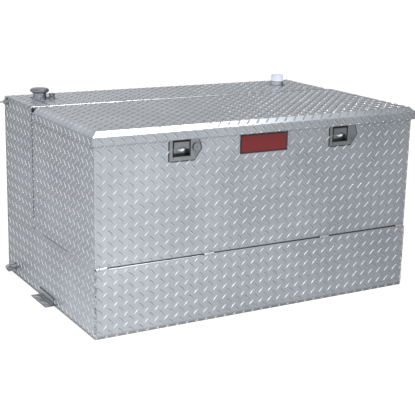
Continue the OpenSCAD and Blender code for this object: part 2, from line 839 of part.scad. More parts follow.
module gauge_dial() color("orangered") translate([gauge_x, gauge_y, tank_h + head_h]) {
  translate([0, 0, -6]) cylinder(h = 7, r = dial_pin_r);
  translate([0, 0, free_gap]) cylinder(h = 1.2, r = 6);
  translate([-2, 0, free_gap]) cube([4, 15, 1.2]);
}

module gauge_seal() color("black") translate([gauge_x, gauge_y, tank_h + head_h]) difference() {
  cylinder(h = seal_t, r = head_r);
  translate([0, 0, -past]) cylinder(h = 4, r = cover_r - 3);
}

module gauge_cover() color("whitesmoke")
  translate([gauge_x, gauge_y, tank_h + head_h + seal_t]) difference() {
    union() {
      cylinder(h = 3.5, r = cover_r + 3.5);
      cylinder(h = 24.5, r = cover_r);
    }
    translate([0, 0, -past]) cylinder(h = 23.5, r = cover_r - 2.5);
  }

// fittings on the left end of the column

module wall_place(y, z) translate([-half_w, y, z]) rotate([0, -90, 0]) children();

module vent_bung() color("silver") wall_place(wall_vent_y, wall_vent_z) difference() {
  union() {
    cylinder(h = 4, r = 11.5);
    translate([0, 0, -sheet]) cylinder(h = sheet, r = vent_hole_r);
  }
  translate([0, 0, -2 * sheet]) cylinder(h = 20, r = 4.5);
}

module vent_barb() color("goldenrod") wall_place(wall_vent_y, wall_vent_z) difference() {
  union() {
    translate([0, 0, -sheet]) cylinder(h = sheet + 5, r = 4.5);
    translate([0, 0, 4]) cylinder(h = 9, r = 8, $fn = 6);
    translate([0, 0, 12]) cylinder(h = 24, r = 3);
    for (z = [17, 23, 29]) translate([0, 0, z]) cylinder(h = 5, r1 = 4.2, r2 = 3);
  }
  translate([0, 0, -2 * sheet]) cylinder(h = 60, r = 1.8);
}

module outlet_bung() color("silver") wall_place(outlet_y, outlet_z) difference() {
  union() {
    cylinder(h = 4, r = 15);
    translate([0, 0, -sheet]) cylinder(h = sheet, r = outlet_hole_r);
  }
  translate([0, 0, -2 * sheet]) cylinder(h = 20, r = 8);
}

// the elbow turns from the wall to the front
elbow_out = 27;
elbow_r = 9.5;
elbow_bore = 6;

module outlet_elbow() color("silver") difference() {
  union() {
    wall_place(outlet_y, outlet_z) translate([0, 0, -sheet]) cylinder(h = sheet + 5, r = 8);
    wall_place(outlet_y, outlet_z) translate([0, 0, 4]) cylinder(h = elbow_out - 4, r = elbow_r);
    translate([-half_w - elbow_out, outlet_y, outlet_z]) sphere(elbow_r);
    translate([-half_w - elbow_out, outlet_y, outlet_z]) rotate([90, 0, 0]) {
      cylinder(h = 22, r = elbow_r);
      translate([0, 0, 12]) cylinder(h = 10, r = 11);
    }
  }
  wall_place(outlet_y, outlet_z) translate([0, 0, -2 * sheet])
    cylinder(h = elbow_out + 2 * sheet, r = elbow_bore);
  translate([-half_w - elbow_out, outlet_y, outlet_z]) rotate([90, 0, 0])
    cylinder(h = 40, r = elbow_bore);
}

module outlet_plug() color("lightgray")
  translate([-half_w - elbow_out, outlet_y - 12, outlet_z]) rotate([90, 0, 0]) {
    cylinder(h = 10, r = elbow_bore);
    translate([0, 0, 10]) cylinder(h = 4, r = 8);
    translate([0, 0, 14]) cylinder(h = 4, r = 5.5, $fn = 4);
  }

rear_wrap();
front_wrap();
end_plate_left();
end_plate_right();
baffles();
seam_welds();
tie_down_left();
tie_down_right();
toolbox_wrap();
toolbox_end_left();
toolbox_end_right();
stitch_welds();
weatherstrip();
hinge_fixed_leaf();
hinge_pin();
hinge_lid_leaf();
lid_panel();
lid_stiffeners();
striker_left();
striker_right();
lid_strut_studs();
latch_dish_left();
latch_dish_right();
latch_case_left();
latch_case_right();
latch_rivets();
paddle_pins();
jaw_pins();
paddle_left();
paddle_right();
jaw_left();
jaw_right();
lock_housing();
lock_plug();
lock_cam();
strut_brackets();
strut_tube_left();
strut_tube_right();
strut_rod_left();
strut_rod_right();
badge_plate();
filler_neck();
cap_gasket();
filler_cap();
breather_bung();
breather_cap();
gauge_bung();
gauge_head();
gauge_dial();
gauge_seal();
gauge_cover();
float_pin();
float_arm();
float();
vent_bung();
vent_barb();
outlet_bung();
outlet_elbow();
outlet_plug();
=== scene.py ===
import bmesh
import bpy
import json
import math
import random
from mathutils import Matrix, Vector


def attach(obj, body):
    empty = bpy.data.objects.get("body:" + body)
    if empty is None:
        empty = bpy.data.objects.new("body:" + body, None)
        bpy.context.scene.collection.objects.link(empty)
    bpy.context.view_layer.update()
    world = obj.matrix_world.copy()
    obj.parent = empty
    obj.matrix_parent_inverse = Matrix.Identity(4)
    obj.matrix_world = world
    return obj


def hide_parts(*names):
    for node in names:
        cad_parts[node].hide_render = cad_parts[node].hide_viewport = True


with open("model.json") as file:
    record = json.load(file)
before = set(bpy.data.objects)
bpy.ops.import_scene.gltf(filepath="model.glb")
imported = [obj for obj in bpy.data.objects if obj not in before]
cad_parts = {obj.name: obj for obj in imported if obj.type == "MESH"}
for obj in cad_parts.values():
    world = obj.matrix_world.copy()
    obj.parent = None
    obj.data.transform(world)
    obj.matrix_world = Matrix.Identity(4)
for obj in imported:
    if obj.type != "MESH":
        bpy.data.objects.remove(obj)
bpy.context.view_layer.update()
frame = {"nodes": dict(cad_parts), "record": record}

MM = 0.001

# The tank's own sizes in millimetres: origin under its middle, front towards -Y
HALF_W = 609.5
FRONT = -398.5
BACK = 398.5
COLUMN = 127.5
TOP = 656.0
SHELF = 228.0
SHEET = 3.0
BEND = 6.0
SIDES = ((-1, "left"), (1, "right"))

# The toolbox, and the heights where the bars on its ends and front stop under the lid
BOX_FRONT = -396.0
BOX_BACK = 123.5
BOX_END_BARS = 638.0
BOX_FRONT_BARS = 632.0

# The lid: a flat top, a bevel and a lip on three sides, and a strip that slopes to the hinge
LID_TOP = 661.0
LID_HALF = 619.5
LID_FRONT = -408.5
LID_REAR = 84.5
LID_LIP = 617.5
LID_BEVEL = 17.0
LID_SHEET = 2.5
LID_BEND = 3.0
FOLD = 75.5
SLOPE = math.radians(14)
STRIP_HALF = 603.5
STRIP_END = 121.0

# The latch plates: lower left corners, then the outline and the pan inside it
LATCH_X = (-356.5, 256.5)
LATCH_Z = 547.0
PLATE_W, PLATE_H = 114, 71
PLATE_TIP = 36
PLATE_LOW_CUT, PLATE_HIGH_CUT = 26, 12
PAN_X0, PAN_X1 = 11, 75
PAN_Z0, PAN_Z1 = 13, 66
PAN_MIDDLE = (PAN_X0 + PAN_X1) / 2

# The folded tie-down feet: their flat part's distances from the tank's end, then front and length
FOOT_IN, FOOT_OUT = 7, 32.5
FOOT_FRONT, FOOT_LENGTH = -53, 132

# The gauge's middle line and the badge's bare field
GAUGE_X, GAUGE_Y = 480.5, 271.5
BADGE_X, BADGE_Z = -7, 581
BADGE_W, BADGE_H = 172, 52
BADGE_OUT, BADGE_THICK = 1.65, 0.5

# The stretch of a noise's values that tones are spread over, and the grain of metal and of mouldings
NOISE_LOW, NOISE_HIGH = 0.3, 0.7
METAL_GRAIN_DEPTH = 0.2 * MM
MOULD_GRAIN_DEPTH = 0.1 * MM
MOULD_GRAIN_MM = 2.0


# Small helpers

def colour(text):
    """An sRGB hex colour as the linear values that the shaders take."""
    parts = [int(text[i:i + 2], 16) / 255 for i in (1, 3, 5)]
    return [c / 12.92 if c <= 0.04045 else ((c + 0.055) / 1.055) ** 2.4 for c in parts] + [1]


def spread(low, high, at_low, at_high):
    """The socket values that map one stretch of values to another."""
    return {"From Min": low, "From Max": high, "To Min": at_low, "To Max": at_high}


def add(tree, kind, values=None, links=None, **settings):
    """Adds one shader node with its settings, socket values and incoming links."""
    made = tree.nodes.new(kind)
    for key, value in settings.items():
        setattr(made, key, value)
    for key, value in (values or {}).items():
        made.inputs[key].default_value = value
    for key, socket in (links or {}).items():
        tree.links.new(socket, made.inputs[key])
    return made


def new_material(name):
    """An empty material and its node tree."""
    made = bpy.data.materials.new(name)
    made.use_nodes = True
    made.node_tree.nodes.clear()
    return made, made.node_tree


def finish_material(tree, values, links):
    """Ends a material with its surface shader."""
    shader = add(tree, "ShaderNodeBsdfPrincipled", values, links)
    add(tree, "ShaderNodeOutputMaterial", links={"Surface": shader.outputs[0]})


def shaded(tree, socket, reach_mm, power):
    """Paints shade into a colour: darkens it in grooves and corners, where little light comes in."""
    shut = add(tree, "ShaderNodeAmbientOcclusion", {"Distance": reach_mm * MM}, samples=8).outputs["AO"]
    factor = add(tree, "ShaderNodeMath", {1: power}, {0: shut}, operation="POWER").outputs[0]
    return add(tree, "ShaderNodeVectorMath", links={0: socket, "Scale": factor},
               operation="SCALE").outputs[0]


def metal(name, tint, rough, wander, patch_mm, grain_mm, grain, brushed=(1, 1, 1), shade=None):
    """A metal whose tone wanders over patches, with a fine grain in its surface and its roughness."""
    made, tree = new_material(name)
    place = add(tree, "ShaderNodeTexCoord").outputs["Object"]
    scaled = add(tree, "ShaderNodeMapping", {"Scale": brushed}, {"Vector": place}).outputs[0]
    cloud = add(tree, "ShaderNodeTexNoise", {"Scale": 1 / (patch_mm * MM), "Detail": 3.0},
                {"Vector": place}).outputs[0]
    fine = add(tree, "ShaderNodeTexNoise", {"Scale": 1 / (grain_mm * MM), "Detail": 2.0},
               {"Vector": scaled}).outputs[0]
    ramp = add(tree, "ShaderNodeValToRGB", links={"Fac": cloud})
    for stop, position, text in zip(ramp.color_ramp.elements, (NOISE_LOW, NOISE_HIGH), tint):
        stop.position = position
        stop.color = colour(text)
    rough_out = add(tree, "ShaderNodeMapRange",
                    spread(NOISE_LOW, NOISE_HIGH, rough - wander, rough + wander),
                    {"Value": fine}).outputs[0]
    bump = add(tree, "ShaderNodeBump", {"Strength": grain, "Distance": METAL_GRAIN_DEPTH}, {"Height": fine})
    # where a shade is given, painted shade darkens the tone in grooves and corners
    tone = shaded(tree, ramp.outputs[0], *shade) if shade else ramp.outputs[0]
    finish_material(tree, {"Metallic": 1.0},
                    {"Base Color": tone, "Roughness": rough_out, "Normal": bump.outputs[0]})
    return made


def plain(name, tint, rough, coat=0.0, grain=0.15):
    """A plastic, rubber, paint or enamel with a fine grain in its surface."""
    made, tree = new_material(name)
    place = add(tree, "ShaderNodeTexCoord").outputs["Object"]
    fine = add(tree, "ShaderNodeTexNoise", {"Scale": 1 / (MOULD_GRAIN_MM * MM), "Detail": 2.0},
               {"Vector": place}).outputs[0]
    bump = add(tree, "ShaderNodeBump", {"Strength": grain, "Distance": MOULD_GRAIN_DEPTH}, {"Height": fine})
    finish_material(tree, {"Base Color": colour(tint), "Roughness": rough, "Coat Weight": coat},
                    {"Normal": bump.outputs[0]})
    return made


# Materials

# Aluminium tread plate, rolled and left as milled: a cloudy tone, with painted shade in the corners
TREAD = metal("aluminium_tread_plate_mill", ("#B0B5BC", "#C0C5CC"), rough=0.34, wander=0.06,
              patch_mm=160, grain_mm=1.6, grain=0.3, shade=(16, 1.7))
# The raised bars of the same plate: worn smoother and a little brighter than the ground between them
BARS = metal("aluminium_tread_bars_rolled", ("#C6CACF", "#D4D7DB"), rough=0.25, wander=0.05,
             patch_mm=60, grain_mm=1.2, grain=0.15)
# Aluminium sheet inside the tank and box, brushed lengthways: soft and even
SHEET_METAL = metal("aluminium_sheet_brushed", ("#B4B7BA", "#C4C7CA"), rough=0.42, wander=0.05,
                    patch_mm=80, grain_mm=1.0, grain=0.2, brushed=(0.05, 1, 1))
# Aluminium weld bead, laid by hand: bright ripples with painted shade in its hollows; also the painted
# highlight on the paddles' lips
WELD = metal("aluminium_weld_bead_and_lip_highlight", ("#9A9DA1", "#F0F1F3"), rough=0.3, wander=0.06,
             patch_mm=7, grain_mm=1.5, grain=0.5, shade=(6, 1.2))
# The same bead along the tank's edges: duller, with painted shade in its hollows
EDGE_WELD = metal("aluminium_weld_edge_dull", ("#74777C", "#D9DBDE"), rough=0.36, wander=0.06,
                  patch_mm=9, grain_mm=1.5, grain=0.5, shade=(6, 1.2))
# Stainless steel of the latch plates, brushed and then pressed: darker than the aluminium, with painted
# shade in its recesses
STAINLESS = metal("stainless_steel_pressed", ("#8A8E93", "#9A9EA3"), rough=0.3, wander=0.04,
                  patch_mm=40, grain_mm=0.7, grain=0.15, brushed=(0.08, 1, 1), shade=(9, 1.5))
# The same steel on the paddles, which stand in the shade of the pan's rim: painted shade makes them darker
# still
PADDLE = metal("stainless_steel_paddle_brushed", ("#808388", "#8E9196"), rough=0.32, wander=0.04,
               patch_mm=30, grain_mm=0.7, grain=0.15, brushed=(0.08, 1, 1), shade=(7, 2.2))
# Aluminium welding stub and bungs, turned: greyed by heat and handling
STUB = metal("aluminium_stub_dull", ("#8B8E92", "#A3A6AA"), rough=0.4, wander=0.08,
             patch_mm=14, grain_mm=1.4, grain=0.4)
# Zinc alloy of the gauge head, die cast: smooth and pale
HEAD = metal("zinc_casting_gauge_head", ("#A9ACB2", "#B9BCC1"), rough=0.38, wander=0.05,
             patch_mm=20, grain_mm=1.0, grain=0.3)
# Zinc plated steel of the small hardware: bright and slightly blotchy
ZINC = metal("zinc_plated_steel", ("#A8ABAE", "#B6B9BB"), rough=0.34, wander=0.05,
             patch_mm=25, grain_mm=0.8, grain=0.2)
# Aluminium of the filler cap, sand cast: dull and grainy
CAST = metal("aluminium_cast_cap", ("#7E8083", "#94969A"), rough=0.42, wander=0.06,
             patch_mm=14, grain_mm=1.2, grain=0.5)
# Satin black paint on the gas strut tubes
PAINT = plain("strut_satin_black_paint", "#17181A", 0.4)
# Closed-cell rubber, moulded: black, without shine; its black also paints the shade round the latch pans
# and plates
RUBBER_AND_SHADE = plain("rubber_closed_cell_and_painted_shade", "#161616", 0.85, grain=0.4)
# Black fuel resistant plastic, moulded
BLACK_PLASTIC = plain("fuel_resistant_black_plastic", "#1D1E20", 0.5)
# Milky plastic of the gauge cover, moulded: a soft shine
MILKY = plain("milky_gauge_plastic", "#DCE0EC", 0.3, coat=0.2)
# Orange plastic of the gauge dial, moulded
POINTER = plain("orange_pointer_plastic", "#D8521F", 0.45)
# Enamel of the bare badge: a dark border and a red field
BADGE_EDGE = plain("badge_dark_enamel", "#241013", 0.35, coat=0.3)
BADGE_RED = plain("badge_red_enamel", "#7E1519", 0.4, coat=0.2)

SLOT_MATERIAL = {
    "tank_sheet": TREAD, "weld_metal": WELD, "stainless": STAINLESS, "plated_steel": ZINC,
    "strut_paint": PAINT, "rubber_seal": RUBBER_AND_SHADE, "cap_casting": CAST, "gauge_plastic": BLACK_PLASTIC,
    "cover_plastic": MILKY, "dial_plastic": POINTER, "head_casting": HEAD, "badge_enamel": BADGE_EDGE,
}
# Nodes whose metal looks different from the rest of their slot
NODE_MATERIAL = {
    "baffles": SHEET_METAL, "lid_stiffeners": SHEET_METAL, "hinge_fixed_leaf": SHEET_METAL,
    "hinge_lid_leaf": SHEET_METAL, "paddle_left": PADDLE, "paddle_right": PADDLE,
    "filler_neck": STUB, "breather_bung": STUB, "gauge_bung": STUB, "breather_cap": CAST,
    "gauge_head": HEAD, "outlet_elbow": ZINC, "outlet_plug": ZINC,
}
for row in frame["record"]["subparts"]:
    shown = frame["nodes"].get(row["node"])
    if shown is not None:
        shown.data.materials.clear()
        shown.data.materials.append(NODE_MATERIAL.get(row["node"], SLOT_MATERIAL[row["material_slot"]]))


# Geometry helpers

def to_object(bm, name, material, body, smooth=False):
    """Turns a bmesh drawn in millimetres into an object that rides on a body."""
    bmesh.ops.scale(bm, vec=(MM, MM, MM), verts=bm.verts)
    bmesh.ops.recalc_face_normals(bm, faces=bm.faces)
    mesh = bpy.data.meshes.new(name)
    bm.to_mesh(mesh)
    bm.free()
    if smooth:
        mesh.shade_smooth()
    made = bpy.data.objects.new(name, mesh)
    bpy.context.scene.collection.objects.link(made)
    made.data.materials.append(material)
    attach(made, body)
    return made


def add_box(bm, middle, size, place=Matrix()):
    """Adds a box, given by its middle and its size."""
    bmesh.ops.create_cube(bm, size=1,
                          matrix=place @ Matrix.Translation(middle) @ Matrix.Diagonal(size + (1,)))


def copies(bm, step, count):
    """Doubles everything in the bmesh until it stands at least count times, each one step on."""
    have = 1
    while have < count:
        geom = bm.verts[:] + bm.edges[:] + bm.faces[:]
        made = bmesh.ops.duplicate(bm, geom=geom)["geom"]
        bmesh.ops.translate(bm, vec=Vector(step) * have,
                            verts=[g for g in made if isinstance(g, bmesh.types.BMVert)])
        have *= 2


def cut(bm, point, normal):
    """Cuts away what lies beyond a plane and closes the cut."""
    done = bmesh.ops.bisect_plane(bm, geom=bm.verts[:] + bm.edges[:] + bm.faces[:],
                                  plane_co=point, plane_no=normal, clear_outer=True)
    edges = [g for g in done["geom_cut"] if isinstance(g, bmesh.types.BMEdge)]
    bmesh.ops.holes_fill(bm, edges=edges, sides=0)


def facing(normal, at):
    """The place of a flat panel: its lower left corner and the side that it faces."""
    out = Vector(normal).normalized()
    up = Vector((0, 0, 1)) if abs(out.z) < 0.9 else Vector((0, 1, 0))
    right = up.cross(out).normalized()
    up = out.cross(right)
    turn = Matrix((right, up, out)).transposed().to_4x4()
    return Matrix.Translation(at) @ turn


# The raised bars of the tread plate

BAR_L, BAR_W, BAR_H, PITCH = 26.0, 5.4, 1.3, 36.0
# The shoulder's and the crown's share of a bar's height, and what is left of the length and width
# at the shoulder, then of the shoulder's at the crown
RISES = (0.6, 0.4)
SHOULDER = (0.92, 0.72, 1)
CROWN = (0.84, 0.3, 1)


def add_bar(bm, at, turn):
    """One raised bar of the tread: a lens-shaped foot drawn up to a narrow crown."""
    place = Matrix.Translation(at) @ Matrix.Rotation(turn, 4, "Z")
    foot = bmesh.ops.create_circle(bm, cap_ends=True, segments=8, radius=1,
                                   matrix=place @ Matrix.Diagonal((BAR_L / 2, BAR_W / 2, 1, 1)))["verts"]
    face = foot[0].link_faces[0]
    for rise, keep, shrink in ((RISES[0], True, SHOULDER), (RISES[1], False, CROWN)):
        top = bmesh.ops.extrude_face_region(bm, geom=[face], use_keep_orig=keep)["geom"]
        crown = [g for g in top if isinstance(g, bmesh.types.BMVert)]
        if not keep:
            bmesh.ops.delete(bm, geom=[face], context="FACES_ONLY")
        face = [g for g in top if isinstance(g, bmesh.types.BMFace)][0]
        bmesh.ops.translate(bm, vec=(0, 0, BAR_H * rise), verts=crown)
        bmesh.ops.scale(bm, vec=shrink, verts=crown, space=place.inverted())


def drop_bars(bm, x0, y0, x1, y1):
    """Takes away every whole bar that has a corner inside a rectangle."""
    front = [v for v in bm.verts if x0 < v.co.x < x1 and y0 < v.co.y < y1]
    whole = set(front)
    while front:
        for edge in front.pop().link_edges:
            for v in edge.verts:
                if v not in whole:
                    whole.add(v)
                    front.append(v)
    bmesh.ops.delete(bm, geom=list(whole), context="VERTS")


def tread(name, body, place, width, height, bare=()):
    """Bars all over a flat rectangle: place turns its own X, Y, Z into width, height and outward."""
    bm = bmesh.new()
    shift = [-(place.translation.dot(place.col[i].xyz) % PITCH) for i in (0, 1)]
    add_bar(bm, (shift[0], shift[1], 0), math.radians(45))
    add_bar(bm, (shift[0] + PITCH / 2, shift[1] + PITCH / 2, 0), math.radians(-45))
    copies(bm, (PITCH, 0, 0), width / PITCH + 2)
    copies(bm, (0, PITCH, 0), height / PITCH + 2)
    cut(bm, (0, 0, 0), (-1, 0, 0))
    cut(bm, (width, 0, 0), (1, 0, 0))
    cut(bm, (0, 0, 0), (0, -1, 0))
    cut(bm, (0, height, 0), (0, 1, 0))
    for area in bare:
        drop_bars(bm, *area)
    bmesh.ops.transform(bm, matrix=place, verts=bm.verts)
    to_object(bm, name, BARS, body)


# Tread of the tank and the toolbox

tread("tread_tank_front", "tank", facing((0, -1, 0), (-HALF_W, FRONT, SHEET)),
      2 * HALF_W, SHELF - BEND - SHEET)
tread("tread_tank_top", "tank", facing((0, 0, 1), (-HALF_W, COLUMN + BEND, TOP)),
      2 * HALF_W, BACK - COLUMN - 2 * BEND)
tread("tread_tank_back", "tank", facing((0, 1, 0), (HALF_W, BACK, BEND)),
      2 * HALF_W, TOP - 2 * BEND)
for side, name in SIDES:
    low = FRONT if side > 0 else BACK
    tread("tread_end_low_" + name, "tank", facing((side, 0, 0), (side * HALF_W, low, SHEET)),
          BACK - FRONT, SHELF - 2 * SHEET)
    high = COLUMN if side > 0 else BACK
    tread("tread_end_high_" + name, "tank", facing((side, 0, 0), (side * HALF_W, high, SHELF)),
          BACK - COLUMN, TOP - SHELF - SHEET)
    box = BOX_FRONT + SHEET if side > 0 else BOX_BACK - SHEET
    tread("tread_box_end_" + name, "tank", facing((side, 0, 0), (side * HALF_W, box, SHELF + BEND)),
          BOX_BACK - BOX_FRONT - 2 * SHEET, BOX_END_BARS - SHELF - 2 * BEND)

pans = [(x + HALF_W + PAN_X0, LATCH_Z + PAN_Z0 - SHELF - BEND,
         x + HALF_W + PAN_X1, LATCH_Z + PAN_Z1 - SHELF - BEND) for x in LATCH_X]
tread("tread_box_front", "tank", facing((0, -1, 0), (-HALF_W, BOX_FRONT, SHELF + BEND)),
      2 * HALF_W, BOX_FRONT_BARS - SHELF - BEND, pans)


# The lid with its rounded folds

def lid_shell():
    """The lid folded from one sheet, in place of the solid lid_panel: a shell open below and behind."""
    bm = bmesh.new()
    add_box(bm, (0, (LID_REAR + LID_FRONT) / 2, (LID_TOP + LID_LIP) / 2),
            (2 * LID_HALF, LID_REAR - LID_FRONT, LID_TOP - LID_LIP))
    cut(bm, (0, LID_FRONT, LID_TOP - LID_BEVEL), (0, -1, 1))
    for side in (-1, 1):
        cut(bm, (side * LID_HALF, 0, LID_TOP - LID_BEVEL), (side, 0, 1))
    cut(bm, (0, FOLD, LID_TOP), (0, math.sin(SLOPE), math.cos(SLOPE)))
    bm.normal_update()
    gone = [f for f in bm.faces if f.normal.z < -0.9 or f.normal.y > 0.9]
    bmesh.ops.delete(bm, geom=gone, context="FACES")
    folds = [e for e in bm.edges if len(e.link_faces) == 2]
    bmesh.ops.bevel(bm, geom=folds, offset=LID_BEND, offset_type="OFFSET", segments=3, profile=0.5,
                    affect="EDGES", material=-1)
    bmesh.ops.solidify(bm, geom=bm.faces[:], thickness=LID_SHEET)
    length = (STRIP_END - LID_REAR) / math.cos(SLOPE)
    top = LID_TOP - (LID_REAR - FOLD) * math.tan(SLOPE)
    add_box(bm, (0, length / 2, -LID_SHEET / 2), (2 * STRIP_HALF, length, LID_SHEET),
            Matrix.Translation((0, LID_REAR, top)) @ Matrix.Rotation(-SLOPE, 4, "X"))
    made = to_object(bm, "lid_folded_shell", TREAD, "lid")
    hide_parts("lid_panel")


lid_shell()

# Tread of the lid: its bars keep this far from the folds of the top and the bevels
MARGIN = 2
# The same distance up a bevel of 45 degrees, along each axis
MARGIN_UP = 1.4
LIP_MARGIN = 1.5
# The bars on the strip stop short of the hinge, where they would meet the column as the lid opens
STRIP_BARS_END = 104

bevel_height = LID_BEVEL * math.sqrt(2) - 2 * MARGIN
bevel_foot = LID_TOP - LID_BEVEL + MARGIN_UP
lip_height = LID_TOP - LID_BEVEL - LID_LIP - LIP_MARGIN
tread("tread_lid_top", "lid",
      facing((0, 0, 1), (-LID_HALF + LID_BEVEL + MARGIN, LID_FRONT + LID_BEVEL + MARGIN, LID_TOP)),
      2 * (LID_HALF - LID_BEVEL - MARGIN), FOLD - LID_FRONT - LID_BEVEL - MARGIN - LID_BEND)
tread("tread_lid_bevel_front", "lid",
      facing((0, -1, 1), (-LID_HALF + LID_BEVEL, LID_FRONT + MARGIN_UP, bevel_foot)),
      2 * (LID_HALF - LID_BEVEL), bevel_height)
tread("tread_lid_lip_front", "lid", facing((0, -1, 0), (-LID_HALF, LID_FRONT, LID_LIP)),
      2 * LID_HALF, lip_height)
for side, name in SIDES:
    start = LID_FRONT + LID_BEVEL if side > 0 else FOLD
    tread("tread_lid_bevel_" + name, "lid",
          facing((side, 0, 1), (side * (LID_HALF - MARGIN_UP), start, bevel_foot)),
          FOLD - LID_FRONT - LID_BEVEL, bevel_height)
    start = LID_FRONT if side > 0 else LID_REAR
    tread("tread_lid_lip_" + name, "lid", facing((side, 0, 0), (side * LID_HALF, start, LID_LIP)),
          LID_REAR - LID_FRONT, lip_height)
tread("tread_lid_strip", "lid",
      facing((0, math.sin(SLOPE), math.cos(SLOPE)),
             (-STRIP_HALF, FOLD + LID_BEND, LID_TOP - LID_BEND * math.tan(SLOPE))),
      2 * STRIP_HALF, (STRIP_BARS_END - FOLD - LID_BEND) / math.cos(SLOPE))


# The feet are folded from the same plate, bare round their hole: the bare patch's start and width
# across each foot, then its start and end along it

BARE_X = {"left": 3, "right": 9}
BARE_W = 14
BARE_Y0, BARE_Y1 = 56, 76

for side, name in SIDES:
    edge = HALF_W + FOOT_IN if side > 0 else -HALF_W - FOOT_OUT
    tread("tread_foot_" + name, "tank", facing((0, 0, 1), (edge, FOOT_FRONT, SHEET)),
          FOOT_OUT - FOOT_IN, FOOT_LENGTH, [(BARE_X[name], BARE_Y0, BARE_X[name] + BARE_W, BARE_Y1)])


# Weld beads along the outer edges

DROPS = 16
DROP_STEP = 0.62
DROP_STRAY = 0.22
DROP_SIZES = (0.75, 1.1)


def beads(name, start, end, radius, seed):
    """A hand-laid bead: overlapping drops along a line, none quite in its place."""
    bm = bmesh.new()
    chance = random.Random(seed)
    start, end = Vector(start), Vector(end)
    along = (end - start).normalized()
    step = along * DROP_STEP * radius
    for i in range(DROPS):
        stray = Vector([chance.uniform(-DROP_STRAY, DROP_STRAY) * radius for _ in range(3)])
        size = radius * chance.uniform(*DROP_SIZES)
        bmesh.ops.create_icosphere(bm, subdivisions=2, radius=size,
                                   matrix=Matrix.Translation(start + step * (i + 1) + stray))
    copies(bm, step * DROPS, (end - start).length / (step.length * DROPS))
    cut(bm, end, along)
    to_object(bm, name, EDGE_WELD, "tank", smooth=True)


# How far a bead's middle lies inside the end plate's face, and inside each edge's other face
BEAD_IN = 0.4
FRONT_BEAD_IN, BOX_BEAD_IN, TOP_BEAD_IN = 2.4, 1.4, 1.6
# How far from a corner a bead starts or stops, and where the one on the box stops under the lid
GAP, CLOSE_GAP = 5, 4
BOX_BEAD_TOP = 612
# Each edge: Y and Z where its bead starts and ends, its radius and its seed
BEAD_EDGES = {
    "weld_front_edge_": ((FRONT + FRONT_BEAD_IN, GAP), (FRONT + FRONT_BEAD_IN, SHELF - CLOSE_GAP), 4.2, 3),
    "weld_box_edge_": ((BOX_FRONT + BOX_BEAD_IN, SHELF + BEND), (BOX_FRONT + BOX_BEAD_IN, BOX_BEAD_TOP),
                       1.5, 7),
    "weld_top_edge_": ((COLUMN + CLOSE_GAP, TOP - TOP_BEAD_IN), (BACK - GAP, TOP - TOP_BEAD_IN), 2.0, 11),
    "weld_back_edge_": ((BACK - TOP_BEAD_IN, CLOSE_GAP), (BACK - TOP_BEAD_IN, TOP - GAP), 2.0, 19),
}
for side, name in SIDES:
    x = side * (HALF_W - BEAD_IN)
    for edge, (start, end, radius, seed) in BEAD_EDGES.items():
        beads(edge + name, (x,) + start, (x,) + end, radius, seed + side)


# The latches

# How far the gasket shows round its plate, and its thickness and middle from the box's front
GASKET_GROW = 3.0
GASKET_THICK = 1.2
GASKET_Y = -0.2
# The painted shade round the pan, drawn as a dark line: the width and thickness of its bars and the height
# of its uprights
LINE_W = 4
LINE_THICK = 0.4
LINE_RISE = 22
# Where its two halves stand from the box's front, and the width and height of the paddle's half
PAN_LINE_Y, PADDLE_LINE_Y = -1.3, -1.7
PADDLE_LINE_W, PADDLE_LINE_Z = 62.6, 60
# The paddle's turned-in edge behind the finger cut: its middle and its size
TURNED_Y, TURNED_Z = 1.1, 42
TURNED_SIZE = (44, 1.0, 10)
# The lip below the finger cut, a painted highlight in the bright weld metal: a flattened cone, its front
# cut off
LIP_RADII = (12, 11.4)
LIP_SQUASH = 0.62
LIP_CUT = 0.6
LIP_THICK = 1.0
LIP_ASIDE, LIP_Y, LIP_Z = -1, 1.2, 37
LIP_TURN, LIP_LEAN = math.radians(-14), math.radians(75)


def gasket(name, at):
    """A rubber gasket under the latch plate, whose black also paints the shade round the plate: the plate's
    outline a little larger, open at the pan.
    """
    bm = bmesh.new()
    left, right = -GASKET_GROW, PLATE_W + GASKET_GROW
    low, high = -GASKET_GROW, PLATE_H + GASKET_GROW
    for x0, x1, z0, z1 in ((left, PAN_X0, low, high), (PAN_X1, right, low, high),
                           (PAN_X0, PAN_X1, low, PAN_Z0), (PAN_X0, PAN_X1, PAN_Z1, high)):
        add_box(bm, ((x0 + x1) / 2, GASKET_Y, (z0 + z1) / 2), (x1 - x0, GASKET_THICK, z1 - z0))
    for normal in ((PLATE_TIP, 0, -PLATE_LOW_CUT), (PLATE_H - PLATE_TIP, 0, PLATE_HIGH_CUT)):
        out = Vector(normal).normalized()
        cut(bm, Vector((PLATE_W, 0, PLATE_TIP)) + out * GASKET_GROW, out)
    bmesh.ops.translate(bm, vec=at, verts=bm.verts)
    to_object(bm, name, RUBBER_AND_SHADE, "tank")


def painted_shade_line(name, at, body, width, cross_z, upright_z):
    """Painted shade round half a pan: three flat black bars, one across at a height and two uprights."""
    bm = bmesh.new()
    outer = (width - LINE_W) / 2
    for x, z, wide, high in ((0, cross_z, width, LINE_W), (-outer, upright_z, LINE_W, LINE_RISE),
                             (outer, upright_z, LINE_W, LINE_RISE)):
        add_box(bm, (x, 0, z + high / 2), (wide, LINE_THICK, high))
    bmesh.ops.translate(bm, vec=at, verts=bm.verts)
    to_object(bm, name, RUBBER_AND_SHADE, body)


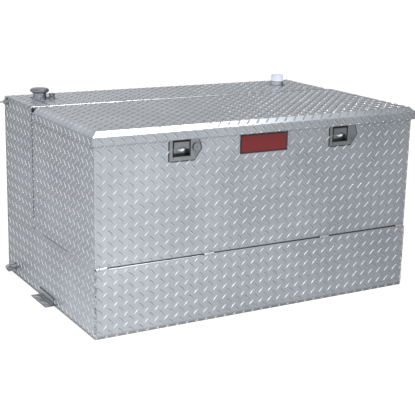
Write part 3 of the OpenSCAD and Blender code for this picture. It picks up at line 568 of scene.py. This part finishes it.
def paddle_lip(name, at, body):
    """The thin lip of a paddle below its finger cut, leaning out and a little to one side, in bright weld
    metal as a painted highlight.
    """
    bm = bmesh.new()
    bmesh.ops.create_cone(bm, cap_ends=True, segments=24, radius1=LIP_RADII[0], radius2=LIP_RADII[1],
                          depth=LIP_THICK, matrix=Matrix.Diagonal((1, LIP_SQUASH, 1, 1)))
    cut(bm, (0, LIP_CUT, 0), (0, 1, 0))
    lean = Matrix.Rotation(LIP_TURN, 4, "Z") @ Matrix.Rotation(LIP_LEAN, 4, "X")
    bmesh.ops.transform(bm, matrix=Matrix.Translation(at) @ lean, verts=bm.verts)
    to_object(bm, name, WELD, body)


def flat_piece(name, middle, size, material, body):
    """A small flat box as a piece of its own."""
    bm = bmesh.new()
    add_box(bm, middle, size)
    to_object(bm, name, material, body)


for x, side in zip(LATCH_X, ("left", "right")):
    paddle = "paddle_" + side
    middle = x + PAN_MIDDLE
    gasket("latch_gasket_and_shade_" + side, (x, BOX_FRONT, LATCH_Z))
    # the line below stands on the pan, and the line above on the paddle that fills it
    painted_shade_line("pan_rim_painted_shade_" + side, (middle, BOX_FRONT + PAN_LINE_Y, LATCH_Z), "tank",
              width=PAN_X1 - PAN_X0, cross_z=PAN_Z0, upright_z=PAN_Z0)
    painted_shade_line("paddle_rim_painted_shade_" + side, (middle, BOX_FRONT + PADDLE_LINE_Y, LATCH_Z), paddle,
              width=PADDLE_LINE_W, cross_z=PADDLE_LINE_Z, upright_z=PADDLE_LINE_Z - LINE_RISE)
    flat_piece("paddle_turned_in_" + side, (middle, BOX_FRONT + TURNED_Y, LATCH_Z + TURNED_Z),
               TURNED_SIZE, PADDLE, paddle)
    paddle_lip("paddle_lip_highlight_" + side, (middle + LIP_ASIDE, BOX_FRONT + LIP_Y, LATCH_Z + LIP_Z), paddle)


# Ribs round the gauge cover

RIBS = 18
RIB_RADII = (1.3, 1.0)
RIB_LENGTH = 17
RIB_OUT = 22.5
# The cover's foot above the tank, and the ribs' middle above that
COVER_FOOT = 17.5
RIB_MIDDLE = 13

bm = bmesh.new()
for i in range(RIBS):
    spot = (Matrix.Translation((GAUGE_X, GAUGE_Y, TOP + COVER_FOOT + RIB_MIDDLE))
            @ Matrix.Rotation(math.radians(360 / RIBS * i), 4, "Z"))
    bmesh.ops.create_cone(bm, cap_ends=True, segments=6, radius1=RIB_RADII[0], radius2=RIB_RADII[1],
                          depth=RIB_LENGTH, matrix=spot @ Matrix.Translation((RIB_OUT, 0, 0)))
to_object(bm, "gauge_cover_ribs", MILKY, "cover")


# The badge's red field, bare

flat_piece("badge_red_field", (BADGE_X, BOX_FRONT - BADGE_OUT, BADGE_Z), (BADGE_W, BADGE_THICK, BADGE_H),
           BADGE_RED, "tank")


# The camera, as it stood for the photograph: its place, its aim and its lens

CAMERA_AT = (-1828.6, -3178.3, 1228.95)
CAMERA_TURN = math.radians(-30.11)
CAMERA_RISE = math.radians(14.71)
CAMERA_ROLL = math.radians(1.29)
CAMERA_LENS = 89.79
CAMERA_SENSOR = 36

back = Vector((math.sin(CAMERA_TURN) * math.cos(CAMERA_RISE),
               -math.cos(CAMERA_TURN) * math.cos(CAMERA_RISE),
               math.sin(CAMERA_RISE)))
right = Vector((math.cos(CAMERA_TURN), math.sin(CAMERA_TURN), 0))
up = back.cross(right)
level, tilt = math.cos(CAMERA_ROLL), math.sin(CAMERA_ROLL)
axes = Matrix((level * right + tilt * up, -tilt * right + level * up, back)).transposed().to_4x4()
lens = bpy.data.cameras.new("camera")
lens.sensor_width = CAMERA_SENSOR
lens.lens = CAMERA_LENS
lens.clip_end = 100
camera = bpy.data.objects.new("camera", lens)
camera.matrix_world = Matrix.Translation(Vector(CAMERA_AT) * MM) @ axes
bpy.context.scene.collection.objects.link(camera)
bpy.context.scene.camera = camera
bpy.context.scene.view_settings.view_transform = "Standard"


# The white studio floor: plain to the eye, and what the metal mirrors of it fades behind the tank
# and towards its right end. Each fade: from and to in metres, then the glow at either.

FADE_DEPTH = (-0.7, 0.5, 1.0, 0.5)
FADE_STEEP = (-0.85, 0.17, 0.74, 0.12)
FADE_GENTLE = (-0.23, 0.6, 0.346, 0.05)
# How much the last two turn with depth, and how bright the camera sees the floor
FADE_SLANT = 0.58
FLOOR_SEEN = 0.74
FLOOR_SIZE = 30

floor_material, tree = new_material("white_studio_floor")
path = add(tree, "ShaderNodeLightPath")
spot = add(tree, "ShaderNodeSeparateXYZ",
           links={0: add(tree, "ShaderNodeNewGeometry").outputs["Position"]})
depth = add(tree, "ShaderNodeMapRange", spread(*FADE_DEPTH), {"Value": spot.outputs["Y"]}).outputs[0]
across = add(tree, "ShaderNodeMath", {1: FADE_SLANT}, {0: spot.outputs["Y"], 2: spot.outputs["X"]},
             operation="MULTIPLY_ADD").outputs[0]
steep = add(tree, "ShaderNodeMapRange", spread(*FADE_STEEP), {"Value": across}).outputs[0]
gentle = add(tree, "ShaderNodeMapRange", spread(*FADE_GENTLE), {"Value": across}).outputs[0]
fade = add(tree, "ShaderNodeMath", links={0: steep, 1: gentle}, operation="MAXIMUM").outputs[0]
floor_glow = add(tree, "ShaderNodeMath", links={0: depth, 1: fade}, operation="MULTIPLY").outputs[0]
mirrored = add(tree, "ShaderNodeMath", links={0: floor_glow, 1: path.outputs["Is Glossy Ray"]},
               operation="MULTIPLY").outputs[0]
direct = add(tree, "ShaderNodeMath", {1: FLOOR_SEEN}, {0: path.outputs["Is Camera Ray"]},
             operation="MULTIPLY").outputs[0]
glow = add(tree, "ShaderNodeMath", links={0: mirrored, 1: direct}, operation="MAXIMUM").outputs[0]
matt = add(tree, "ShaderNodeBsdfDiffuse", {"Color": (0.4, 0.4, 0.4, 1)}).outputs[0]
lit = add(tree, "ShaderNodeEmission", {"Color": (1, 1, 1, 1)}, {"Strength": glow}).outputs[0]
both = add(tree, "ShaderNodeAddShader", links={0: matt, 1: lit}).outputs[0]
add(tree, "ShaderNodeOutputMaterial", links={"Surface": both})
bm = bmesh.new()
bmesh.ops.create_grid(bm, x_segments=1, y_segments=1, size=FLOOR_SIZE)
mesh = bpy.data.meshes.new("studio_floor")
bm.to_mesh(mesh)
bm.free()
floor = bpy.data.objects.new("studio_floor", mesh)
floor.data.materials.append(floor_material)
bpy.context.scene.collection.objects.link(floor)


# The white studio round it. Each light: its axis, from and to along it, then the strength at either.

LIGHTS = {
    "front_box": ("Y", -0.95, -0.4, 1.45, 0.86),
    "left_box": ("X", -1.0, -0.6, 1.5, 0.86),
    "before_column": ("Y", -0.1, 0.2, 1.0, 0.0),
    "right_of_middle": ("X", -0.15, 0.25, 0.15, 1.0),
    "far_left": ("X", -0.75, -0.42, 0.8, 0.0),
    "overhead": ("Z", 0.6, 0.9, 0.0, 1.0),
    "dark_card_right": ("X", 0.32, 0.75, 1.0, 0.12),
}
OVERHEAD_DIM, OVERHEAD_BRIGHT = 0.5, 1.8
BACKDROP = 1.0

world = bpy.data.worlds.new("white_studio")
bpy.context.scene.world = world
world.use_nodes = True
tree = world.node_tree
tree.nodes.clear()
seen = add(tree, "ShaderNodeLightPath").outputs["Is Camera Ray"]
direction = add(tree, "ShaderNodeSeparateXYZ",
                links={0: add(tree, "ShaderNodeTexCoord").outputs["Generated"]})
light = {name: add(tree, "ShaderNodeMapRange", spread(*span), {"Value": direction.outputs[axis]}).outputs[0]
         for name, (axis, *span) in LIGHTS.items()}
for made, first, second, how in (("boxes", "front_box", "left_box", "MAXIMUM"),
                                 ("over_lid", "before_column", "right_of_middle", "MULTIPLY"),
                                 ("over_lid", "over_lid", "far_left", "MAXIMUM")):
    light[made] = add(tree, "ShaderNodeMath", links={0: light[first], 1: light[second]},
                      operation=how).outputs[0]
ceiling = add(tree, "ShaderNodeMix", {"A": OVERHEAD_DIM, "B": OVERHEAD_BRIGHT},
              {"Factor": light["over_lid"]}).outputs[0]
room = add(tree, "ShaderNodeMix",
           links={"Factor": light["overhead"], "A": light["boxes"], "B": ceiling}).outputs[0]
carded = add(tree, "ShaderNodeMath", links={0: room, 1: light["dark_card_right"]},
             operation="MULTIPLY").outputs[0]
strength = add(tree, "ShaderNodeMix", {"B": BACKDROP}, {"Factor": seen, "A": carded}).outputs[0]
backdrop = add(tree, "ShaderNodeBackground", {"Color": (1, 1, 1, 1)}, {"Strength": strength})
add(tree, "ShaderNodeOutputWorld", links={"Surface": backdrop.outputs[0]})


# Two lamps: each with its place and aim in metres, its size and its power in watts

LAMPS = {
    "key_left": ((-2.6, -2.8, 2.6), (0, -0.2, 0.3), (1.6, 1.6), 25),
    "lid_edge": ((0.56, -0.86, 2.86), (-0.4, -0.4, 0.65), (0.6, 0.5), 26),
}
for name, (at, aim, size, power) in LAMPS.items():
    data = bpy.data.lights.new(name, "AREA")
    data.shape = "RECTANGLE"
    data.size, data.size_y = size
    data.energy = power
    lamp = bpy.data.objects.new(name, data)
    lamp.matrix_world = (Matrix.Translation(at)
                         @ (Vector(aim) - Vector(at)).to_track_quat("-Z", "Y").to_matrix().to_4x4())
    bpy.context.scene.collection.objects.link(lamp)
